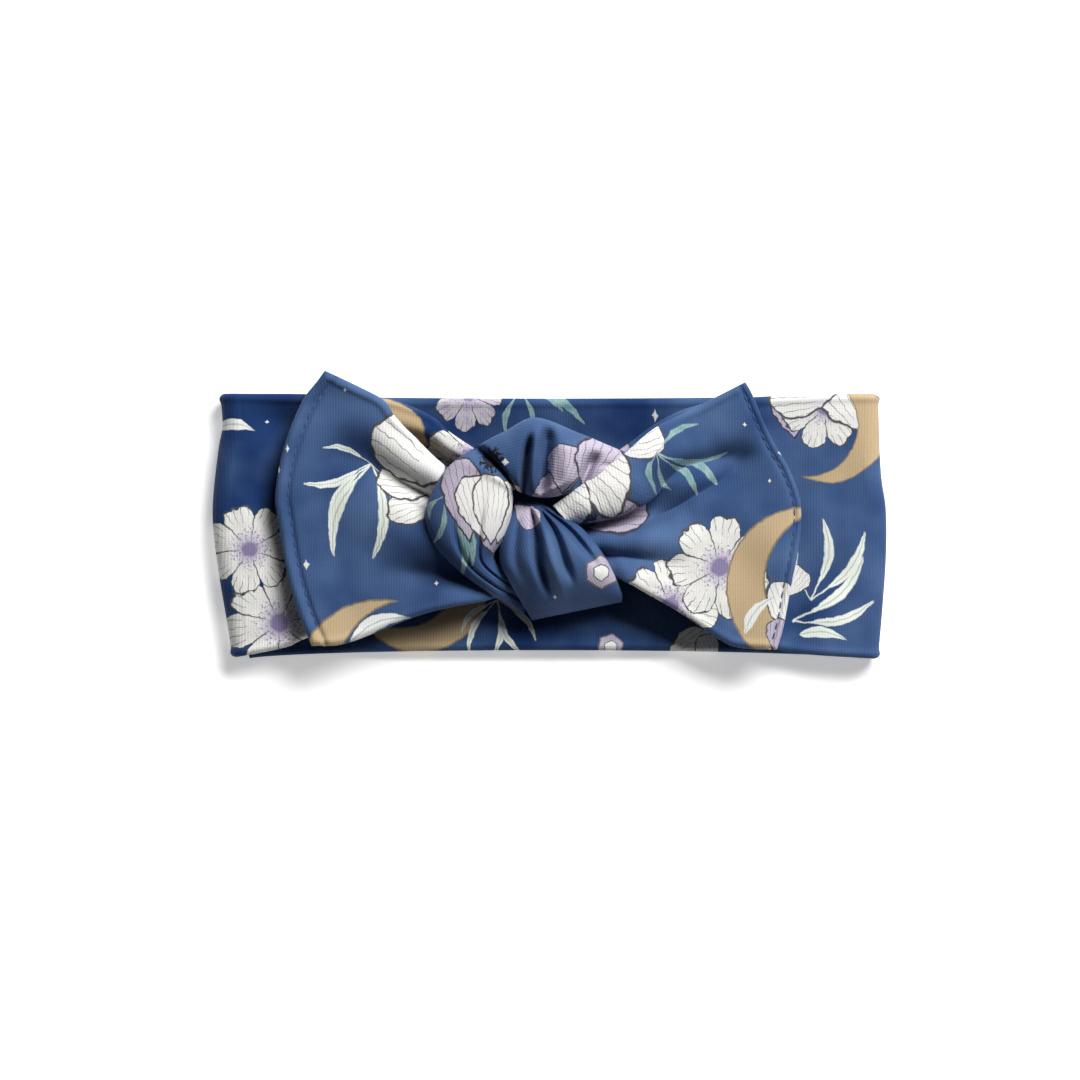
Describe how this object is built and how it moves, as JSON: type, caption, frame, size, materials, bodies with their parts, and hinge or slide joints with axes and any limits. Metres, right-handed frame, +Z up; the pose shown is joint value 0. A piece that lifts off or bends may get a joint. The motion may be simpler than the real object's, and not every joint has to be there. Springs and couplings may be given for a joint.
{
  "type": "knotted headband",
  "caption": "Soft jersey headband lying flat: a wide two-ply cloth loop, knotted at the front, with the ends spread as two tails.",
  "frame": {"origin": "on the surface the band lies on, under the middle of the flat loop", "axes": "+X towards the right tail, +Y towards the upper edge of the band, +Z up from the surface"},
  "size_m": [0.171, 0.073, 0.0265],
  "materials": {
    "printed_jersey": "soft cotton jersey, navy with a floral print",
    "sewing_thread": "navy polyester thread"
  },
  "bodies": {
    "back_half": {"back_panel_edge_seams": "printed_jersey", "back_panel_inner_ply": "printed_jersey", "back_panel_outer_ply": "printed_jersey", "left_fold_edge_seams": "printed_jersey", "left_fold_inner_ply": "printed_jersey", "left_fold_outer_ply": "printed_jersey", "right_fold_edge_seams": "printed_jersey", "right_fold_inner_ply": "printed_jersey", "right_fold_outer_ply": "printed_jersey"},
    "front_half": {"front_left_edge_seams": "printed_jersey", "front_left_inner_ply": "printed_jersey", "front_left_outer_ply": "printed_jersey", "front_right_edge_seams": "printed_jersey", "front_right_inner_ply": "printed_jersey", "front_right_outer_ply": "printed_jersey", "knot_core": "printed_jersey", "knot_left_wrap": "printed_jersey", "knot_lower_wrap": "printed_jersey", "knot_upper_wrap": "printed_jersey", "left_tail_root": "printed_jersey", "right_tail_root": "printed_jersey"},
    "left_tail": {"left_tail_topstitch": "sewing_thread", "left_tail_turned_seam": "printed_jersey", "left_tail_under_ply": "printed_jersey", "left_tail_upper_ply": "printed_jersey"},
    "right_tail": {"right_tail_topstitch": "sewing_thread", "right_tail_turned_seam": "printed_jersey", "right_tail_under_ply": "printed_jersey", "right_tail_upper_ply": "printed_jersey"}
  },
  "joints": [
    {"name": "loop_opening", "type": "slide", "parent": "back_half", "child": "front_half", "axis": [0, 0, 1], "range_m": [0, 0.03]},
    {"name": "left_tail_lift", "type": "hinge", "parent": "front_half", "child": "left_tail", "pos_m": [-0.032, 0, 0.01534], "axis": [0, 1, 0], "range_deg": [0, 70]},
    {"name": "right_tail_lift", "type": "hinge", "parent": "front_half", "child": "right_tail", "pos_m": [0.022, 0, 0.01647], "axis": [0, -1, 0], "range_deg": [0, 70]}
  ]
}
